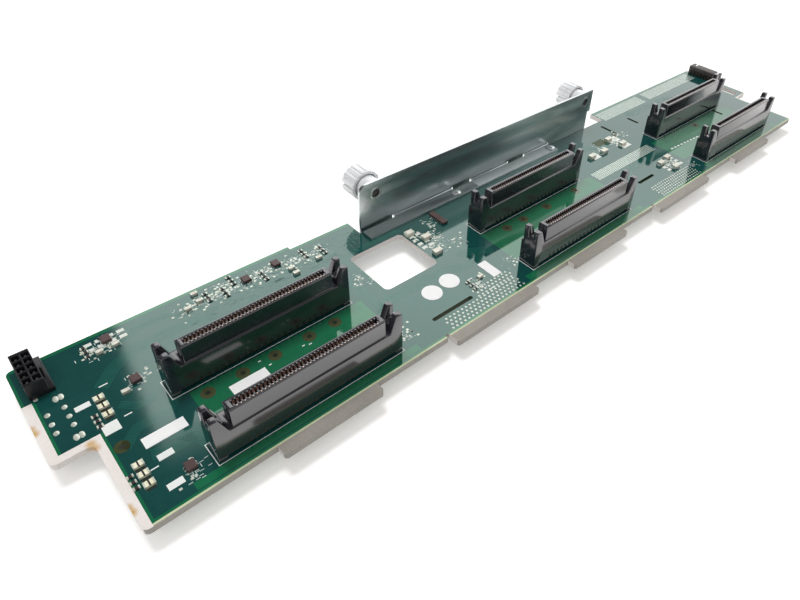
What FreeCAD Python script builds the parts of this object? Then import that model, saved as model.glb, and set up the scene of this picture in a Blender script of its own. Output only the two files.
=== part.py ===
import FreeCAD, Part
import math
import os

os.makedirs("parts", exist_ok=True)

# Six-bay drive backplane board, in millimetres. While it is drawn, X = 0 is the middle
# drive column, Y = 0 the front edge of the front row's outline and Z = 0 the board's top
# face. On export every piece moves together, so that the origin lies under the middle of
# the whole assembly, at the level of the surface that it stands on.

# Drive bays
column_pitch = 136.5
row_pitch = 31.2
column_names = ["left", "middle", "right"]
row_names = ["front", "rear"]

# Board outline
board_thickness = 2.4
board_left = -206.8
board_right = 202.5
front_part_left = -195.0
front_part_right = 191.0
left_shoulder = 30.4
right_shoulder = 30.0
board_front = -5.4
board_back = 75.6
back_step = 1.9
back_step_x = -103.0
right_back_drop = 2.8
corner_radius = 2.0
tab_reach = 4.0
drive_tab_length = 37.0
middle_tab_length = 44.0
middle_tab_middles = [-62.85, 67.95]
tab_notch_width = 1.6
tab_notch_depth = 1.6
tab_corner = 0.8

# Cut-outs in the board
air_hole_left = -88.0
air_hole_right = -61.4
air_hole_front = 28.2
air_hole_back = 53.4
air_hole_radius = 2.2
window_left = 193.0
window_right = 199.0
window_front = 33.2
window_back = 47.6
slot_width = 1.7
slot_corner = 0.5
front_slots = [(-84.0, -65.6, 4.7), (56.9, 68.2, 11.0)]
back_slots = [(89.5, 50.2, 59.0), (110.4, 49.8, 55.6), (161.8, 24.4, 31.0)]

# Drive connector
housing_length = 68.0
housing_width = 8.2
housing_front = 0.5
housing_shoulder = 11.0
housing_lift = 1.3
foot_length = 3.0
contact_line = 3.7
nose_length = 55.2
nose_width = 4.8
nose_height = 17.9
nose_bevel = 0.5
post_top_length = 2.2
post_base_length = 5.0
post_depth = 7.4
post_height = 18.5
front_prong_drop = 0.8
fork_gap = 2.4
fork_depth = 5.0
mating_slot_width = 2.4
mating_slot_length = 51.6
contacts_per_row = 40
contact_pitch = 1.27
contact_width = 0.66
contact_reach = 0.55
contact_recess = 0.7
contact_lead_in = 1.9
ground_strip_width = 1.2
ground_strip_thickness = 0.4
ground_strip_height = 3.6
ground_strip_inset = 1.4

# Bracket of folded sheet
sheet = 1.2
bracket_left = -73.8
bracket_right = 81.8
bracket_waist_right = 79.7
bracket_waist_height = 10.4
bracket_face = 64.3
bracket_height = 23.0
bracket_corner = 4.0
fold_radius = 0.6
flange_depth = 7.1
flange_right = 48.5
relief_gap = 1.0
fold_starts = [-56.0, -8.6, 29.6]
fold_ends = [-21.6, 16.4, 47.5]
edge_clearance = 0.1
recess_margin_left = 0.6
recess_margin_right = 14.7
weld_overlap = 0.2

# Rivets through the flange
rivet_places = [-22.0, 46.0]
rivet_line = 60.6
rivet_head_radius = 2.5
rivet_head_height = 1.1
rivet_shank_radius = 1.5
rivet_fit = 0.05

# Captive thumbscrews
screw_places = [("left", -65.3), ("right", 76.1)]
screw_height = 17.0
screw_radius = 1.75
screw_travel = 4.0
screw_tip_recess = 0.9
bore_clearance = 0.25
ferrule_radius = 5.2
ferrule_wall = 1.6
ferrule_chamber_radius = 3.4
ring_radius = 3.0
ring_thickness = 0.8
ring_running_gap = 0.08
groove_depth = 0.6
end_play = 0.1
knob_radius = 7.0
knob_stand_off = 5.7
knob_end_thickness = 3.3
skirt_clearance = 0.45
knurl_count = 16
knurl_depth = 0.5
driver_slot_width = 1.3
driver_slot_depth = 1.5

# Power header at the left end
power_left = -203.9
power_front = 58.6
power_width = 5.8
power_height = 6.6
power_pitch = 3.0
power_row_pitch = 2.8
power_columns = 5
power_rows = 2
power_cell = 2.2
power_cell_depth = 5.2
power_end_wall = 0.75
power_ledge_width = 1.7
power_ledge_height = 1.7
power_pin_width = 0.64
power_pin_height = 4.4

# Signal socket at the right end: a low shroud lying over the board's edge, open outwards
signal_left = 199.8
signal_front = 50.1
signal_length = 20.4
signal_height = 5.2
signal_depth = 6.4
signal_wall = 0.8
signal_back_wall = 1.4
signal_latch_width = 1.4
signal_latch_depth = 3.2
signal_latch_inset = 2.4
signal_ways = 8
signal_pitch = 2.3
signal_pin_width = 0.6
signal_pin_set_back = 1.0
signal_tail_reach = 1.9

# Host connectors on the hidden side
host_middle_y = 31.0
host_length = 56.0
host_width = 7.6
host_height = 6.0
host_slot_width = 3.0
host_slot_length = 47.0
host_slot_depth = 4.6
host_key_width = 2.2
host_bevel = 0.5
host_contact_reach = 0.6
host_contact_length = 3.4
host_contact_lead_in = 0.9
signal_host_x = -110.0
signal_host_contacts = 17
signal_host_pitch = 2.54
signal_host_contact_width = 1.0
power_host_x = 68.0
power_host_contacts = 8
power_host_pitch = 5.6
power_host_contact_width = 3.8

# Small parts soldered to the board. Places are a middle's x and y; a rear place's second
# number is its distance from the board's back edge instead.
top_chip_places = [(-176.4, 46.5)]
rear_top_chip_places = [(-177.2, 5.6), (-125.9, 8.0), (-112.4, 6.8)]
end_chip_gap = 4.5
end_chip_y = 5.0
top_chip_length = 4.2
top_chip_width = 3.4
top_chip_height = 1.3
driver_chip_x = -41.5
driver_chip_y = 51.0
driver_chip_length = 4.0
driver_chip_width = 9.6
control_chip_places = [(-146.0, 34.0), (10.0, 33.0), (118.0, 33.0)]
control_chip_side = 14.0
control_chip_height = 1.4
chip_bevel = 0.25
led_places = [(-187.9, 38.3), (-188.1, 7.2)]
led_pitch = 3.9
leds_per_place = 3
led_length = 3.3
led_width = 2.1
led_height = 1.1
large_capacitor_places = [(-58.9, 50.2), (-54.8, 43.8), (-57.4, 33.4), (79.0, 47.0), (67.0, 40.6)]
large_capacitor_places += [(57.2, 41.2), (82.0, 39.6), (81.0, 14.4), (88.6, 15.8), (84.6, 7.6)]
large_capacitor_length = 4.0
large_capacitor_width = 2.6
large_capacitor_height = 1.8
capacitor_places = [(-180.6, 43.4), (-54.6, 10.8)]
rear_capacitor_places = [(-149.7, 9.3), (-144.6, 8.0), (-144.6, 3.2), (-109.0, 13.2)]
rear_capacitor_places += [(-109.0, 16.8), (-180.8, 10.2), (-175.4, 10.0), (-97.2, 14.4)]
capacitor_length = 2.6
capacitor_width = 1.5
capacitor_height = 1.2
resistor_places = [(-191.3, 35.4), (-191.3, 8.2), (-60.6, 7.0)]
rear_resistor_places = [(-184.4, 9.6), (-141.6, 10.0), (-135.4, 11.6), (-130.6, 7.0)]
rear_resistor_places += [(-119.6, 12.6), (-100.6, 10.4), (-93.4, 13.2)]
resistors_per_place = 3
resistor_pitch = 2.3
resistor_length = 2.0
resistor_width = 1.2
resistor_height = 0.55

# Paper labels
round_label_places = [(-75.3, 16.2), (-65.5, 17.1)]
round_label_radius = 4.6
long_label_places = [(-177.8, 21.0), (-149.0, 22.2)]
long_label_length = 13.0
long_label_width = 4.4
upright_label_x = -47.9
upright_label_y = 12.2
upright_label_length = 9.8
flange_label_middle = 16.6
flange_label_length = 53.0
flange_label_width = 5.6
label_thickness = 0.15

# Worked out from the sizes above
column_places = [(index - 1) * column_pitch for index in range(len(column_names))]
row_places = [index * row_pitch for index in range(len(row_names))]
board_underside = -board_thickness
table_level = board_underside - host_height
ferrule_length = ferrule_wall + ring_thickness + screw_travel + 2 * end_play
ferrule_back = bracket_face + sheet + ferrule_length
knob_front = bracket_face + sheet + knob_stand_off
knob_floor = ferrule_back + screw_travel + end_play
knob_back = knob_floor + knob_end_thickness
tab_front = board_front - tab_reach
signal_mouth = signal_left + signal_depth
origin_point = FreeCAD.Vector(
    (board_left + signal_mouth) / 2,
    (tab_front + knob_back) / 2,
    table_level,
)


def box(x_low, x_high, y_low, y_high, z_low, z_high):
    corner = FreeCAD.Vector(x_low, y_low, z_low)
    return Part.makeBox(x_high - x_low, y_high - y_low, z_high - z_low, corner)


def rod_along_y(radius, y_low, y_high, x, z):
    return Part.makeCylinder(
        radius, y_high - y_low, FreeCAD.Vector(x, y_low, z), FreeCAD.Vector(0, 1, 0)
    )


def turned_along_y(profile, x, z):
    """A solid turned about an axis along Y, from a closed profile of radius and y pairs."""
    corners = [FreeCAD.Vector(x + radius, y, z) for radius, y in profile]
    face = Part.Face(Part.makePolygon(corners + corners[:1]))
    return face.revolve(FreeCAD.Vector(x, 0, z), FreeCAD.Vector(0, 1, 0), 360)


def rod_along_z(radius, z_low, z_high, x, y):
    return Part.makeCylinder(radius, z_high - z_low, FreeCAD.Vector(x, y, z_low))


def plate_from_outline(points, z_low, z_high):
    corners = [FreeCAD.Vector(x, y, z_low) for x, y in points]
    face = Part.Face(Part.makePolygon(corners + corners[:1]))
    return face.extrude(FreeCAD.Vector(0, 0, z_high - z_low))


def edges_along(shape, axis, keep):
    """The straight edges that run along an axis and whose middle passes the test keep."""
    chosen = []
    for edge in shape.Edges:
        if len(edge.Vertexes) != 2:
            continue
        ends = edge.Vertexes[1].Point.sub(edge.Vertexes[0].Point)
        along = abs(ends.dot(axis))
        if along > 0.999 * edge.Length and keep(edge.CenterOfMass):
            chosen.append(edge)
    return chosen


def export(name, shape):
    placed = shape.copy()
    placed.translate(origin_point.negative())
    placed.exportStep("parts/" + name + ".step")


def routed_slot(x_low, x_high, y_low, y_high):
    """A cutter for a narrow slot with eased ends, through the board."""
    cutter = box(x_low, x_high, y_low, y_high, board_underside - 1, 1)
    upright = edges_along(cutter, FreeCAD.Vector(0, 0, 1), lambda middle: True)
    return cutter.makeChamfer(slot_corner, upright)


def rounded_hole(x_low, x_high, y_low, y_high, radius):
    """A cutter for a rectangular hole with round corners, through the board."""
    cutter = box(x_low, x_high, y_low, y_high, board_underside - 1, 1)
    upright = edges_along(cutter, FreeCAD.Vector(0, 0, 1), lambda middle: True)
    return cutter.makeFillet(radius, upright)


def board_outline():
    recess = bracket_face - edge_clearance
    recess_left = bracket_left - recess_margin_left
    recess_right = bracket_right + recess_margin_right
    left_back_low = board_back - back_step
    right_back = board_back - right_back_drop
    return [
        (front_part_left, board_front),
        (front_part_right, board_front),
        (front_part_right, right_shoulder),
        (board_right, right_shoulder),
        (board_right, right_back),
        (recess_right, right_back),
        (recess_right, recess),
        (recess_left, recess),
        (recess_left, left_back_low),
        (back_step_x, left_back_low),
        (back_step_x, board_back),
        (board_left, board_back),
        (board_left, left_shoulder),
        (front_part_left, left_shoulder),
    ]


def front_tab(middle_x, length):
    """One bare tab on the front edge, with a relief notch beside its left end."""
    left = middle_x - length / 2
    tab = box(left, left + length, tab_front, board_front + 1, board_underside, 0)
    outer = edges_along(
        tab, FreeCAD.Vector(0, 0, 1), lambda middle: middle.y < tab_front + 0.1
    )
    return tab.makeChamfer(tab_corner, outer)


def tab_notch(middle_x, length):
    left = middle_x - length / 2
    return box(
        left - tab_notch_width, left,
        board_front - 1, board_front + tab_notch_depth,
        board_underside - 1, 1,
    )


def make_board():
    board = plate_from_outline(board_outline(), board_underside, 0)
    board_corners = edges_along(
        board, FreeCAD.Vector(0, 0, 1),
        lambda middle: abs(middle.x) > front_part_right - 1,
    )
    board = board.makeFillet(corner_radius, board_corners)
    tabs = [front_tab(x, drive_tab_length) for x in column_places]
    tabs += [front_tab(x, middle_tab_length) for x in middle_tab_middles]
    board = board.fuse(tabs)
    cutters = [tab_notch(x, middle_tab_length) for x in middle_tab_middles]
    cutters.append(
        rounded_hole(air_hole_left, air_hole_right, air_hole_front, air_hole_back, air_hole_radius)
    )
    cutters.append(routed_slot(window_left, window_right, window_front, window_back))
    half = slot_width / 2
    cutters += [routed_slot(x_low - half, x_high + half, y - half, y + half)
                for x_low, x_high, y in front_slots]
    cutters += [routed_slot(x - half, x + half, y_low - half, y_high + half)
                for x, y_low, y_high in back_slots]
    cutters += rivet_holes()
    return board.cut(cutters).removeSplitter()


def rivet_holes():
    radius = rivet_shank_radius + rivet_fit
    return [rod_along_z(radius, board_underside - 1, 1 + sheet, x, rivet_line) for x in rivet_places]


def make_drive_housing():
    """One drive connector's housing, in the middle column of the front row."""
    half = housing_length / 2
    back = housing_front + housing_width
    base = box(-half, half, housing_front, back, housing_lift, housing_shoulder)
    feet = [box(-half, foot_length - half, housing_front, back, 0, housing_lift)]
    feet.append(box(half - foot_length, half, housing_front, back, 0, housing_lift))
    nose_front = contact_line - nose_width / 2
    nose = box(
        -nose_length / 2, nose_length / 2,
        nose_front, nose_front + nose_width,
        housing_shoulder, nose_height,
    )
    top_edges = edges_along(
        nose, FreeCAD.Vector(1, 0, 0), lambda middle: middle.z > nose_height - 0.1
    )
    nose = nose.makeChamfer(nose_bevel, top_edges)
    posts = [guide_post(-1), guide_post(1)]
    housing = base.fuse(feet + [nose] + posts)
    slot = box(
        -mating_slot_length / 2, mating_slot_length / 2,
        contact_line - mating_slot_width / 2, contact_line + mating_slot_width / 2,
        -1, nose_height + 1,
    )
    return housing.cut(slot).removeSplitter()


def guide_post(side):
    """The forked post at one end of a drive connector; side is -1 at the left, 1 at the right."""
    outer = side * housing_length / 2
    corners = [
        FreeCAD.Vector(outer, housing_front, housing_shoulder),
        FreeCAD.Vector(outer, housing_front, post_height),
        FreeCAD.Vector(outer - side * post_top_length, housing_front, post_height),
        FreeCAD.Vector(outer - side * post_base_length, housing_front, housing_shoulder),
    ]
    profile = Part.Face(Part.makePolygon(corners + corners[:1]))
    post = profile.extrude(FreeCAD.Vector(0, post_depth, 0))
    gap_middle = housing_front + post_depth / 2
    gap = box(
        outer - post_base_length - 1, outer + post_base_length + 1,
        gap_middle - fork_gap / 2, gap_middle + fork_gap / 2,
        post_height - fork_depth, post_height + 1,
    )
    front_top = box(
        outer - post_base_length - 1, outer + post_base_length + 1,
        housing_front - 1, gap_middle,
        post_height - front_prong_drop, post_height + 1,
    )
    return post.cut([gap, front_top])


def spring_contact(foot, tip, nose, width):
    """A contact that leans from its foot out to its nose and back to its tip, and its width."""
    profile = Part.Face(Part.makePolygon([foot, nose, tip, foot]))
    return profile.extrude(width)


def make_drive_contacts():
    """Two facing rows of upright contacts against the walls of the mating slot."""
    contacts = []
    first = -(contacts_per_row - 1) * contact_pitch / 2 - contact_width / 2
    top = nose_height - contact_recess
    width = FreeCAD.Vector(contact_width, 0, 0)
    for index in range(contacts_per_row):
        x = first + index * contact_pitch
        for side in (-1, 1):
            wall = contact_line + side * mating_slot_width / 2
            nose_line = wall - side * contact_reach
            contacts.append(
                spring_contact(
                    FreeCAD.Vector(x, wall, 0),
                    FreeCAD.Vector(x, wall, top),
                    FreeCAD.Vector(x, nose_line, top - contact_lead_in),
                    width,
                )
            )
    return contacts


def make_ground_strips():
    """One upright ground strip in the fork of each guide post."""
    strips = []
    floor = post_height - fork_depth
    front = housing_front + post_depth / 2 - fork_gap / 2
    for column in column_places:
        for row in row_places:
            for side in (-1, 1):
                x = column + side * (housing_length / 2 - ground_strip_inset)
                strips.append(
                    box(
                        x - ground_strip_width / 2, x + ground_strip_width / 2,
                        row + front, row + front + ground_strip_thickness,
                        floor, floor + ground_strip_height,
                    )
                )
    return Part.makeCompound(strips)


def make_bracket():
    """The folded plate that carries the captive screws, with its flange on the board."""
    face = bracket_face
    plate = box(bracket_left, bracket_right, face, face + sheet, 0, bracket_height)
    corner = edges_along(
        plate, FreeCAD.Vector(0, 1, 0),
        lambda middle: middle.z > bracket_height - 0.1 and middle.x < bracket_left + 0.1,
    )
    plate = plate.makeFillet(bracket_corner, corner)
    waist = box(
        bracket_waist_right, bracket_right + 1, face - 1, face + sheet + 1,
        -1, bracket_waist_height,
    )
    plate = plate.cut(waist)
    flange_back = face - relief_gap
    pieces = [box(bracket_left, flange_right, face - flange_depth, flange_back, 0, sheet)]
    plate_floor = sheet + fold_radius
    plate = plate.cut(box(bracket_left - 1, bracket_right + 1, face - 1, face + sheet + 1, -1, plate_floor))
    for start, end in zip(fold_starts, fold_ends):
        pieces.append(fold(start, end, flange_back))
    for low, high in hook_spans():
        pieces.append(box(low, high, face, face + sheet, board_underside, plate_floor))
    bracket = plate.fuse(pieces)
    holes = [rod_along_y(screw_radius + bore_clearance, face - 1, face + sheet + 1, x, screw_height)
             for name, x in screw_places]
    return bracket.cut(holes + rivet_holes()).removeSplitter()


def fold(start, end, flange_back):
    """A quarter-round fold that joins the upright plate to the flange."""
    centre_y = bracket_face - fold_radius
    centre_z = sheet + fold_radius
    axis = FreeCAD.Vector(1, 0, 0)
    centre = FreeCAD.Vector(start, centre_y, centre_z)
    outer = Part.makeCylinder(sheet + fold_radius, end - start, centre, axis)
    inner = Part.makeCylinder(fold_radius, end - start, centre, axis)
    quarter = box(start, end, centre_y, bracket_face + sheet, 0, centre_z)
    bend = outer.cut(inner).common(quarter)
    run = box(start, end, flange_back - weld_overlap, centre_y, 0, sheet)
    return bend.fuse(run)


def hook_spans():
    """The stretches between the folds, where the plate reaches down behind the board's edge."""
    starts = [bracket_left] + [end + relief_gap for end in fold_ends]
    ends = [start - relief_gap for start in fold_starts] + [bracket_waist_right]
    return list(zip(starts, ends))


def make_rivets():
    """Rivets from the flange through the board, with a flat head on the far side."""
    rivets = []
    for x in rivet_places:
        shank = rod_along_z(rivet_shank_radius, board_underside, sheet, x, rivet_line)
        top = sheet + rivet_head_height
        head = rod_along_z(rivet_head_radius, sheet, top, x, rivet_line)
        clinch = rod_along_z(
            rivet_head_radius, board_underside - rivet_head_height / 2, board_underside, x, rivet_line
        )
        rivets.append(shank.fuse([head, clinch]).removeSplitter())
    return Part.makeCompound(rivets)


def make_ferrule(x):
    """The bush pressed on the plate, which closes the chamber that the screw's ring slides in."""
    front = bracket_face + sheet
    back = ferrule_back
    bore = screw_radius + bore_clearance
    profile = [
        (ferrule_chamber_radius, front),
        (ferrule_radius, front),
        (ferrule_radius, back),
        (bore, back),
        (bore, back - ferrule_wall),
        (ferrule_chamber_radius, back - ferrule_wall),
    ]
    return turned_along_y(profile, x, screw_height)


def ring_back():
    return ferrule_back - ferrule_wall - end_play


def make_ring(x):
    """The split ring in the screw's groove, at the back of the chamber."""
    back = ring_back()
    front = back - ring_thickness
    outside = rod_along_y(ring_radius, front, back, x, screw_height)
    groove_radius = screw_radius - groove_depth
    inside = rod_along_y(groove_radius + ring_running_gap, front - 1, back + 1, x, screw_height)
    split = box(
        x - groove_radius / 2, x + groove_radius / 2,
        front - 1, back + 1,
        screw_height - ring_radius - 1, screw_height,
    )
    return outside.cut(inside.fuse(split))


def knurled_grip(x):
    """The knob's grip, with evenly spaced grooves around it."""
    points = []
    for index in range(knurl_count):
        for step, radius in ((0.0, knob_radius), (0.55, knob_radius), (0.8, knob_radius - knurl_depth)):
            angle = 2 * math.pi * (index + step) / knurl_count
            points.append(
                FreeCAD.Vector(
                    x + radius * math.cos(angle), knob_front, screw_height + radius * math.sin(angle)
                )
            )
    outline = Part.Face(Part.makePolygon(points + points[:1]))
    return outline.extrude(FreeCAD.Vector(0, knob_back - knob_front, 0))


def make_thumbscrew(x):
    """The knurled knob with its hollow skirt, and the shank with the ring's groove."""
    hollow = rod_along_y(
        ferrule_radius + skirt_clearance, knob_front - 1, knob_floor, x, screw_height
    )
    slot = box(
        x - knob_radius, x + knob_radius,
        knob_back - driver_slot_depth, knob_back + 1,
        screw_height - driver_slot_width / 2, screw_height + driver_slot_width / 2,
    )
    back = ring_back() + ring_running_gap
    front = back - ring_thickness - 2 * ring_running_gap
    core = screw_radius - groove_depth
    tip = bracket_face + screw_tip_recess
    profile = [
        (0, tip),
        (screw_radius, tip),
        (screw_radius, front),
        (core, front),
        (core, back),
        (screw_radius, back),
        (screw_radius, knob_floor + 1),
        (0, knob_floor + 1),
    ]
    shank = turned_along_y(profile, x, screw_height)
    return knurled_grip(x).cut([hollow, slot]).fuse(shank).removeSplitter()


def power_cell_places():
    middle_x = power_left + power_width / 2
    middle_y = power_front + power_end_wall + power_columns * power_pitch / 2
    places = []
    for row in range(power_rows):
        for column in range(power_columns):
            x = middle_x + (row - (power_rows - 1) / 2) * power_row_pitch
            y = middle_y + (column - (power_columns - 1) / 2) * power_pitch
            places.append((x, y))
    return places


def make_power_header():
    length = power_columns * power_pitch + 2 * power_end_wall
    right = power_left + power_width
    body = box(power_left, right, power_front, power_front + length, 0, power_height)
    ledge = box(
        right, right + power_ledge_width, power_front, power_front + length, 0, power_ledge_height
    )
    latch_width = 2 * power_cell
    middle_y = power_front + length / 2
    latch = box(
        right, right + power_ledge_width / 2,
        middle_y - latch_width / 2, middle_y + latch_width / 2,
        0, power_height - power_ledge_height / 2,
    )
    cells = [
        box(
            x - power_cell / 2, x + power_cell / 2, y - power_cell / 2, y + power_cell / 2,
            power_height - power_cell_depth, power_height + 1,
        )
        for x, y in power_cell_places()
    ]
    return body.fuse([ledge, latch]).cut(cells).removeSplitter()


def make_power_pins():
    floor = power_height - power_cell_depth
    half = power_pin_width / 2
    pins = [box(x - half, x + half, y - half, y + half, floor, floor + power_pin_height)
            for x, y in power_cell_places()]
    return Part.makeCompound(pins)


def signal_pin_places():
    middle = signal_front + signal_length / 2
    return [middle + (way - (signal_ways - 1) / 2) * signal_pitch for way in range(signal_ways)]


def make_signal_socket():
    mouth = signal_mouth
    back = signal_front + signal_length
    body = box(signal_left, mouth, signal_front, back, 0, signal_height)
    chamber = box(
        signal_left + signal_back_wall, mouth + 1,
        signal_front + signal_wall, back - signal_wall,
        signal_wall, signal_height - signal_wall,
    )
    latches = [
        box(
            mouth - signal_latch_depth, mouth + 1,
            middle - signal_latch_width / 2, middle + signal_latch_width / 2,
            signal_height / 2, signal_height + 1,
        )
        for middle in (signal_front + signal_latch_inset, back - signal_latch_inset)
    ]
    return body.cut([chamber] + latches)


def make_signal_pins():
    """Straight pins inside the shroud, and behind it their tails, bent down to the board."""
    half = signal_pin_width / 2
    middle = signal_height / 2
    root = signal_left + signal_back_wall
    tip = signal_mouth - signal_pin_set_back
    heel = signal_left - signal_tail_reach
    bend = [
        (signal_left, middle - half), (signal_left, middle + half), (heel, middle + half),
        (heel, 0), (heel + signal_pin_width, 0), (heel + signal_pin_width, middle - half),
    ]
    pins = []
    for y in signal_pin_places():
        pins.append(box(root, tip, y - half, y + half, middle - half, middle + half))
        outline = [FreeCAD.Vector(x, y - half, z) for x, z in bend]
        profile = Part.Face(Part.makePolygon(outline + outline[:1]))
        pins.append(profile.extrude(FreeCAD.Vector(0, signal_pin_width, 0)))
    return Part.makeCompound(pins)


def make_host_housing(x):
    """A host connector below the board, with its mating slot facing down."""
    half = host_length / 2
    body = box(
        x - host_width / 2, x + host_width / 2,
        host_middle_y - half, host_middle_y + half,
        table_level, board_underside,
    )
    rim = edges_along(
        body, FreeCAD.Vector(0, 1, 0), lambda middle: middle.z < table_level + 0.1
    )
    body = body.makeChamfer(host_bevel, rim)
    slot = box(
        x - host_slot_width / 2, x + host_slot_width / 2,
        host_middle_y - host_slot_length / 2, host_middle_y + host_slot_length / 2,
        table_level - 1, table_level + host_slot_depth,
    )
    key = box(
        x, x + host_width,
        host_middle_y - host_key_width / 2, host_middle_y + host_key_width / 2,
        table_level - 1, table_level + host_slot_depth,
    )
    return body.cut([slot, key])


def make_host_contacts(x, count, pitch, width):
    """Two facing rows of contacts on the walls of a host connector's slot."""
    contacts = []
    foot = table_level + host_slot_depth
    tip = foot - host_contact_length
    first = host_middle_y - (count - 1) * pitch / 2 - width / 2
    for index in range(count):
        y = first + index * pitch
        for side in (-1, 1):
            wall = x + side * host_slot_width / 2
            nose_line = wall - side * host_contact_reach
            contacts.append(
                spring_contact(
                    FreeCAD.Vector(wall, y, foot),
                    FreeCAD.Vector(wall, y, tip),
                    FreeCAD.Vector(nose_line, y, tip + host_contact_lead_in),
                    FreeCAD.Vector(0, width, 0),
                )
            )
    return Part.makeCompound(contacts)


def chip(x, y, length, width, z_low, z_high, bevelled_z):
    body = box(x - length / 2, x + length / 2, y - width / 2, y + width / 2, z_low, z_high)
    rim = [edge for edge in body.Edges if abs(edge.CenterOfMass.z - bevelled_z) < 0.01
           and abs(edge.BoundBox.ZLength) < 0.01]
    return body.makeChamfer(chip_bevel, rim)


def from_back_edge(places):
    return [(x, board_back - distance) for x, distance in places]


def make_top_chips():
    housing_end = column_places[0] - housing_length / 2
    places = top_chip_places + from_back_edge(rear_top_chip_places)
    places.append((housing_end - end_chip_gap - top_chip_length / 2, end_chip_y))
    chips = [chip(x, y, top_chip_length, top_chip_width, 0, top_chip_height, top_chip_height)
             for x, y in places]
    driver = chip(
        driver_chip_x, driver_chip_y, driver_chip_length, driver_chip_width,
        0, top_chip_height, top_chip_height,
    )
    return Part.makeCompound(chips + [driver])


def make_control_chips():
    low = board_underside - control_chip_height
    side = control_chip_side
    return Part.makeCompound(
        [chip(x, y, side, side, low, board_underside, low) for x, y in control_chip_places]
    )


def block_on_board(x, y, length, width, height):
    return box(x - length / 2, x + length / 2, y - width / 2, y + width / 2, 0, height)


def make_status_leds():
    return Part.makeCompound(
        [block_on_board(x, y + index * led_pitch, led_length, led_width, led_height)
         for x, y in led_places for index in range(leds_per_place)]
    )


def make_capacitors(places, length, width, height):
    return Part.makeCompound(
        [chip(x, y, length, width, 0, height, height) for x, y in places]
    )


def make_resistors():
    return Part.makeCompound(
        [block_on_board(
            x, y + index * resistor_pitch, resistor_length, resistor_width, resistor_height)
         for x, y in resistor_places + from_back_edge(rear_resistor_places)
         for index in range(resistors_per_place)]
    )


def make_labels():
    """Blank paper labels: round dots, long ones, an upright one and one on the flange."""
    dots = [rod_along_z(round_label_radius, 0, label_thickness, x, y)
            for x, y in round_label_places]
    long_ones = [block_on_board(x, y, long_label_length, long_label_width, label_thickness)
                 for x, y in long_label_places]
    upright = block_on_board(
        upright_label_x, upright_label_y, long_label_width, upright_label_length, label_thickness
    )
    flange_middle = bracket_face - (flange_depth + relief_gap) / 2
    on_flange = block_on_board(
        flange_label_middle, flange_middle, flange_label_length, flange_label_width, label_thickness
    )
    on_flange.translate(FreeCAD.Vector(0, 0, sheet))
    return Part.makeCompound(dots + long_ones + [upright, on_flange])


def export_drive_connectors():
    housing = make_drive_housing()
    contacts = make_drive_contacts()
    for row_name, y in zip(row_names, row_places):
        for column_name, x in zip(column_names, column_places):
            place = FreeCAD.Vector(x, y, 0)
            export(
                "drive_housing_" + row_name + "_" + column_name,
                housing.translated(place),
            )
            export(
                "drive_contacts_" + row_name + "_" + column_name,
                Part.makeCompound([contact.translated(place) for contact in contacts]),
            )


def export_screws():
    for name, x in screw_places:
        export(name + "_ferrule", make_ferrule(x))
        export(name + "_retaining_ring", make_ring(x))
        export(name + "_thumbscrew", make_thumbscrew(x))


def export_host_connectors():
    export("signal_host_housing", make_host_housing(signal_host_x))
    export("power_host_housing", make_host_housing(power_host_x))
    signal_contacts = make_host_contacts(
        signal_host_x, signal_host_contacts, signal_host_pitch, signal_host_contact_width
    )
    power_contacts = make_host_contacts(
        power_host_x, power_host_contacts, power_host_pitch, power_host_contact_width
    )
    export("signal_host_contacts", signal_contacts)
    export("power_host_contacts", power_contacts)


export("circuit_board", make_board())
export_drive_connectors()
export("ground_strips", make_ground_strips())
export("screw_bracket", make_bracket())
export("bracket_rivets", make_rivets())
export_screws()
export("power_header", make_power_header())
export("power_pins", make_power_pins())
export("signal_socket", make_signal_socket())
export("signal_pins", make_signal_pins())
export_host_connectors()
export("top_chips", make_top_chips())
export("control_chips", make_control_chips())
export("status_leds", make_status_leds())
export("large_capacitors", make_capacitors(
    large_capacitor_places, large_capacitor_length, large_capacitor_width, large_capacitor_height))
export("small_capacitors", make_capacitors(
    capacitor_places + from_back_edge(rear_capacitor_places),
    capacitor_length, capacitor_width, capacitor_height))
export("chip_resistors", make_resistors())
export("paper_labels", make_labels())
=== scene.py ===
import bpy
import bmesh
import math
import random
from mathutils import Matrix, Vector


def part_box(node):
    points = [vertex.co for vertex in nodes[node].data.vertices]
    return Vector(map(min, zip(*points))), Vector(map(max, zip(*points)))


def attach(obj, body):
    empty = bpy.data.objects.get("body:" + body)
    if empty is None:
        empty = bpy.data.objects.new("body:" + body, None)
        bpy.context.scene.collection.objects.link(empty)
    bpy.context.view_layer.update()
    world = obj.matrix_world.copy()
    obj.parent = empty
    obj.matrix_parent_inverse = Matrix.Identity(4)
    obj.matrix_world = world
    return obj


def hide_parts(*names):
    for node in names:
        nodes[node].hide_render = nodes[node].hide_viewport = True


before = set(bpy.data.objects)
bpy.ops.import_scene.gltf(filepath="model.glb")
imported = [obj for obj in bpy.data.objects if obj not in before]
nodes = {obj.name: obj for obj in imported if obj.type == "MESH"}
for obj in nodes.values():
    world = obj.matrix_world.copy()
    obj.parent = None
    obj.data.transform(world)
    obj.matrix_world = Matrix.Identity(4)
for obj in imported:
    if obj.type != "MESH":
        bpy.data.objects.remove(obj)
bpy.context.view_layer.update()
mm = 0.001
weld = 0.002  # loose CAD corners closer than this are one corner

boardLow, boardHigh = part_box("circuit_board")
board = {"leftEdge": -206.8, "frontEdge": -9.4, "thickness": 2.4}
driveRows = {"front": 0.0, "rear": 31.2}
driveColumns = {"left": -136.5, "middle": 0.0, "right": 136.5}
drivePlaces = [(column, row) for column in driveColumns.values() for row in driveRows.values()]


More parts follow.
